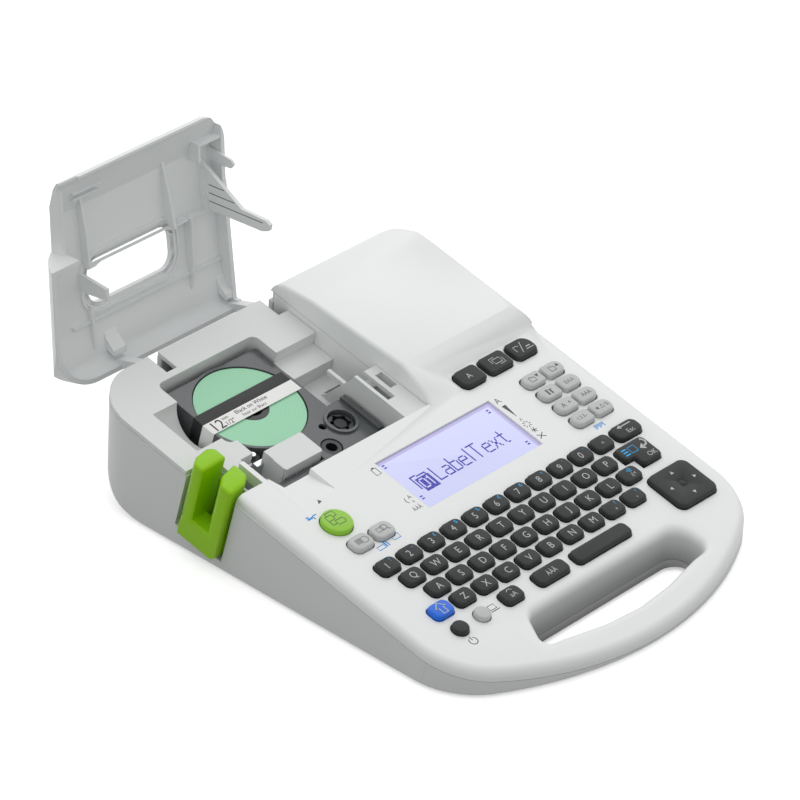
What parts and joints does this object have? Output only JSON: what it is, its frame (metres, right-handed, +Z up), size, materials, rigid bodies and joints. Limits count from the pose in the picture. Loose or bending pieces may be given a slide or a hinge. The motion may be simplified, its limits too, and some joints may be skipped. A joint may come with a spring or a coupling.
{
  "type": "label maker",
  "caption": "Desktop label maker with a sloped keyboard deck, a display, a hinged tape cover over the cassette bay and a cutter lever.",
  "frame": {"origin": "middle of the case footprint on the desk, under the centre foot", "axes": "+X to the right seen from the front bow, +Y towards the rear wall, +Z up"},
  "size_m": [0.1733, 0.2493, 0.1179],
  "materials": {
    "case_white": "fine satin",
    "case_grey": "fine satin",
    "bay_grey": "fine satin",
    "cover_grey": "fine satin",
    "clear": "clear",
    "steel": "ground",
    "lime": "gloss",
    "key_lime": "satin",
    "dark_plastic": "matte",
    "black_key": "satin",
    "cassette_grey": "fine texture",
    "label": "coated",
    "mint_tape": "satin",
    "core": "matte",
    "metal_can": "drawn",
    "brass": "machined",
    "gear_plastic": "matte",
    "rubber_black": "matte",
    "rubber_grey": "matte",
    "lcd": "matte film",
    "board": "lacquer",
    "battery": "gloss",
    "dark_key": "satin",
    "blue_key": "satin",
    "pale_key": "satin"
  },
  "bodies": {
    "case": {"upper_case": "case_white", "lower_case": "case_grey", "grip_frame": "case_grey", "chassis": "case_grey", "tray": "bay_grey", "hinge_pin": "steel", "lever_pin": "steel", "print_head": "metal_can", "cassette_shell": "cassette_grey", "cassette_label": "label", "motor": "metal_can", "display_lens": "clear", "display_panel": "lcd", "main_board": "board", "key_board": "board", "key_sheet": "rubber_grey", "batteries": "battery", "battery_contacts": "steel", "battery_cover": "case_grey", "dc_socket": "dark_plastic", "usb_socket": "metal_can", "feet": "rubber_grey", "screws": "steel"},
    "tape_cover": {"cover": "cover_grey", "cover_window": "clear"},
    "lever": {"cutter_lever": "lime", "cutter_blade": "steel"},
    "roll": {"tape_roll": "mint_tape", "roll_core": "core"},
    "supply": {"supply_core": "core"},
    "take_up": {"take_up_spindle": "gear_plastic", "take_up_core": "core"},
    "pinion": {"motor_pinion": "brass"},
    "idler": {"idler_gear": "gear_plastic"},
    "wide": {"wide_gear": "gear_plastic"},
    "platen": {"platen_shaft": "steel", "platen_roller": "rubber_black"},
    "b_keys_numbers": {"keys_numbers": "dark_key"},
    "b_keys_q": {"keys_q": "dark_key"},
    "b_keys_a": {"keys_a": "dark_key"},
    "b_keys_z": {"keys_z": "dark_key"},
    "b_key_esc": {"key_esc": "dark_key"},
    "b_key_ok": {"key_ok": "dark_key"},
    "b_key_arrows": {"key_arrows": "dark_key"},
    "b_key_shift": {"key_shift": "blue_key"},
    "b_key_case": {"key_case": "dark_key"},
    "b_key_accent": {"key_accent": "dark_key"},
    "b_key_space": {"key_space": "dark_key"},
    "b_key_power": {"key_power": "black_key"},
    "b_key_link": {"key_link": "pale_key"},
    "b_key_print": {"key_print": "key_lime"},
    "b_key_copy": {"key_copy": "pale_key"},
    "b_key_preview": {"key_preview": "pale_key"},
    "b_key_fn_left": {"key_fn_left": "black_key"},
    "b_key_fn_mid": {"key_fn_mid": "black_key"},
    "b_key_fn_right": {"key_fn_right": "black_key"},
    "b_keys_file": {"keys_file": "pale_key"},
    "b_keys_form": {"keys_form": "pale_key"},
    "b_keys_style": {"keys_style": "pale_key"},
    "b_keys_symbol": {"keys_symbol": "pale_key"}
  },
  "joints": [
    {"name": "cover_hinge", "type": "hinge", "parent": "case", "child": "tape_cover", "pos_m": [0, 0.1097, 0.0355], "axis": [1, 0, 0], "range_deg": [0, 107.1]},
    {"name": "lever_pivot", "type": "hinge", "parent": "case", "child": "lever", "pos_m": [-0.0808, 0.04587, 0.01078], "axis": [0, 0.9767, 0.2147], "range_deg": [0, 3], "stiffness_Nm_per_rad": 1.2, "springref_deg": -2.86},
    {"name": "roll_spin", "type": "hinge", "parent": "case", "child": "roll", "pos_m": [-0.0342, 0.07168, 0.02608], "axis": [0, -0.2147, 0.9767], "continuous": true},
    {"name": "supply_spin", "type": "hinge", "parent": "case", "child": "supply", "pos_m": [-0.0237, 0.03877, 0.01885], "axis": [0, -0.2147, 0.9767], "continuous": true},
    {"name": "take_up_spin", "type": "hinge", "parent": "case", "child": "take_up", "pos_m": [-0.0104, 0.04659, 0.02056], "axis": [0, -0.2147, 0.9767], "continuous": true},
    {"name": "pinion_spin", "type": "hinge", "parent": "case", "child": "pinion", "pos_m": [0.0085, 0.03408, 0.01782], "axis": [0, -0.2147, 0.9767], "continuous": true},
    {"name": "idler_spin", "type": "hinge", "parent": "case", "child": "idler", "pos_m": [0.00534, 0.04376, 0.01994], "axis": [0, -0.2147, 0.9767], "continuous": true},
    {"name": "wide_spin", "type": "hinge", "parent": "case", "child": "wide", "pos_m": [-0.03392, 0.04843, 0.02097], "axis": [0, -0.2147, 0.9767], "continuous": true},
    {"name": "platen_spin", "type": "hinge", "parent": "case", "child": "platen", "pos_m": [-0.0527, 0.05235, 0.02183], "axis": [0, -0.2147, 0.9767], "continuous": true},
    {"name": "numbers_press", "type": "slide", "parent": "case", "child": "b_keys_numbers", "axis": [0, 0.2147, -0.9767], "range_m": [0, 0.001], "stiffness_N_per_m": 900, "springref_m": -0.0004},
    {"name": "q_press", "type": "slide", "parent": "case", "child": "b_keys_q", "axis": [0, 0.2147, -0.9767], "range_m": [0, 0.001], "stiffness_N_per_m": 900, "springref_m": -0.0004},
    {"name": "a_press", "type": "slide", "parent": "case", "child": "b_keys_a", "axis": [0, 0.2147, -0.9767], "range_m": [0, 0.001], "stiffness_N_per_m": 900, "springref_m": -0.0004},
    {"name": "z_press", "type": "slide", "parent": "case", "child": "b_keys_z", "axis": [0, 0.2147, -0.9767], "range_m": [0, 0.001], "stiffness_N_per_m": 900, "springref_m": -0.0004},
    {"name": "esc_press", "type": "slide", "parent": "case", "child": "b_key_esc", "axis": [0, 0.2147, -0.9767], "range_m": [0, 0.001], "stiffness_N_per_m": 400, "springref_m": -0.0004},
    {"name": "ok_press", "type": "slide", "parent": "case", "child": "b_key_ok", "axis": [0, 0.2147, -0.9767], "range_m": [0, 0.001], "stiffness_N_per_m": 400, "springref_m": -0.0004},
    {"name": "arrows_press", "type": "slide", "parent": "case", "child": "b_key_arrows", "axis": [0, 0.2147, -0.9767], "range_m": [0, 0.001], "stiffness_N_per_m": 400, "springref_m": -0.0004},
    {"name": "shift_press", "type": "slide", "parent": "case", "child": "b_key_shift", "axis": [0, 0.2147, -0.9767], "range_m": [0, 0.001], "stiffness_N_per_m": 400, "springref_m": -0.0004},
    {"name": "case_press", "type": "slide", "parent": "case", "child": "b_key_case", "axis": [0, 0.2147, -0.9767], "range_m": [0, 0.001], "stiffness_N_per_m": 400, "springref_m": -0.0004},
    {"name": "accent_press", "type": "slide", "parent": "case", "child": "b_key_accent", "axis": [0, 0.2147, -0.9767], "range_m": [0, 0.001], "stiffness_N_per_m": 400, "springref_m": -0.0004},
    {"name": "space_press", "type": "slide", "parent": "case", "child": "b_key_space", "axis": [0, 0.2147, -0.9767], "range_m": [0, 0.001], "stiffness_N_per_m": 400, "springref_m": -0.0004},
    {"name": "power_press", "type": "slide", "parent": "case", "child": "b_key_power", "axis": [0, 0.2147, -0.9767], "range_m": [0, 0.001], "stiffness_N_per_m": 400, "springref_m": -0.0004},
    {"name": "link_press", "type": "slide", "parent": "case", "child": "b_key_link", "axis": [0, 0.2147, -0.9767], "range_m": [0, 0.001], "stiffness_N_per_m": 400, "springref_m": -0.0004},
    {"name": "print_press", "type": "slide", "parent": "case", "child": "b_key_print", "axis": [0, 0.2147, -0.9767], "range_m": [0, 0.001], "stiffness_N_per_m": 400, "springref_m": -0.0004},
    {"name": "copy_press", "type": "slide", "parent": "case", "child": "b_key_copy", "axis": [0, 0.2147, -0.9767], "range_m": [0, 0.001], "stiffness_N_per_m": 400, "springref_m": -0.0004},
    {"name": "preview_press", "type": "slide", "parent": "case", "child": "b_key_preview", "axis": [0, 0.2147, -0.9767], "range_m": [0, 0.001], "stiffness_N_per_m": 400, "springref_m": -0.0004},
    {"name": "fn_left_press", "type": "slide", "parent": "case", "child": "b_key_fn_left", "axis": [0, 0.2147, -0.9767], "range_m": [0, 0.001], "stiffness_N_per_m": 400, "springref_m": -0.0004},
    {"name": "fn_mid_press", "type": "slide", "parent": "case", "child": "b_key_fn_mid", "axis": [0, 0.2147, -0.9767], "range_m": [0, 0.001], "stiffness_N_per_m": 400, "springref_m": -0.0004},
    {"name": "fn_right_press", "type": "slide", "parent": "case", "child": "b_key_fn_right", "axis": [0, 0.2147, -0.9767], "range_m": [0, 0.001], "stiffness_N_per_m": 400, "springref_m": -0.0004},
    {"name": "file_press", "type": "slide", "parent": "case", "child": "b_keys_file", "axis": [0, 0.2147, -0.9767], "range_m": [0, 0.001], "stiffness_N_per_m": 400, "springref_m": -0.0004},
    {"name": "form_press", "type": "slide", "parent": "case", "child": "b_keys_form", "axis": [0, 0.2147, -0.9767], "range_m": [0, 0.001], "stiffness_N_per_m": 400, "springref_m": -0.0004},
    {"name": "style_press", "type": "slide", "parent": "case", "child": "b_keys_style", "axis": [0, 0.2147, -0.9767], "range_m": [0, 0.001], "stiffness_N_per_m": 400, "springref_m": -0.0004},
    {"name": "symbol_press", "type": "slide", "parent": "case", "child": "b_keys_symbol", "axis": [0, 0.2147, -0.9767], "range_m": [0, 0.001], "stiffness_N_per_m": 400, "springref_m": -0.0004}
  ],
  "couplings": [
    {"joint": "wide_spin", "follows": "take_up_spin", "ratio": -0.68571},
    {"joint": "platen_spin", "follows": "take_up_spin", "ratio": 1.8462},
    {"joint": "idler_spin", "follows": "take_up_spin", "ratio": -1.5},
    {"joint": "pinion_spin", "follows": "take_up_spin", "ratio": 2.4}
  ]
}
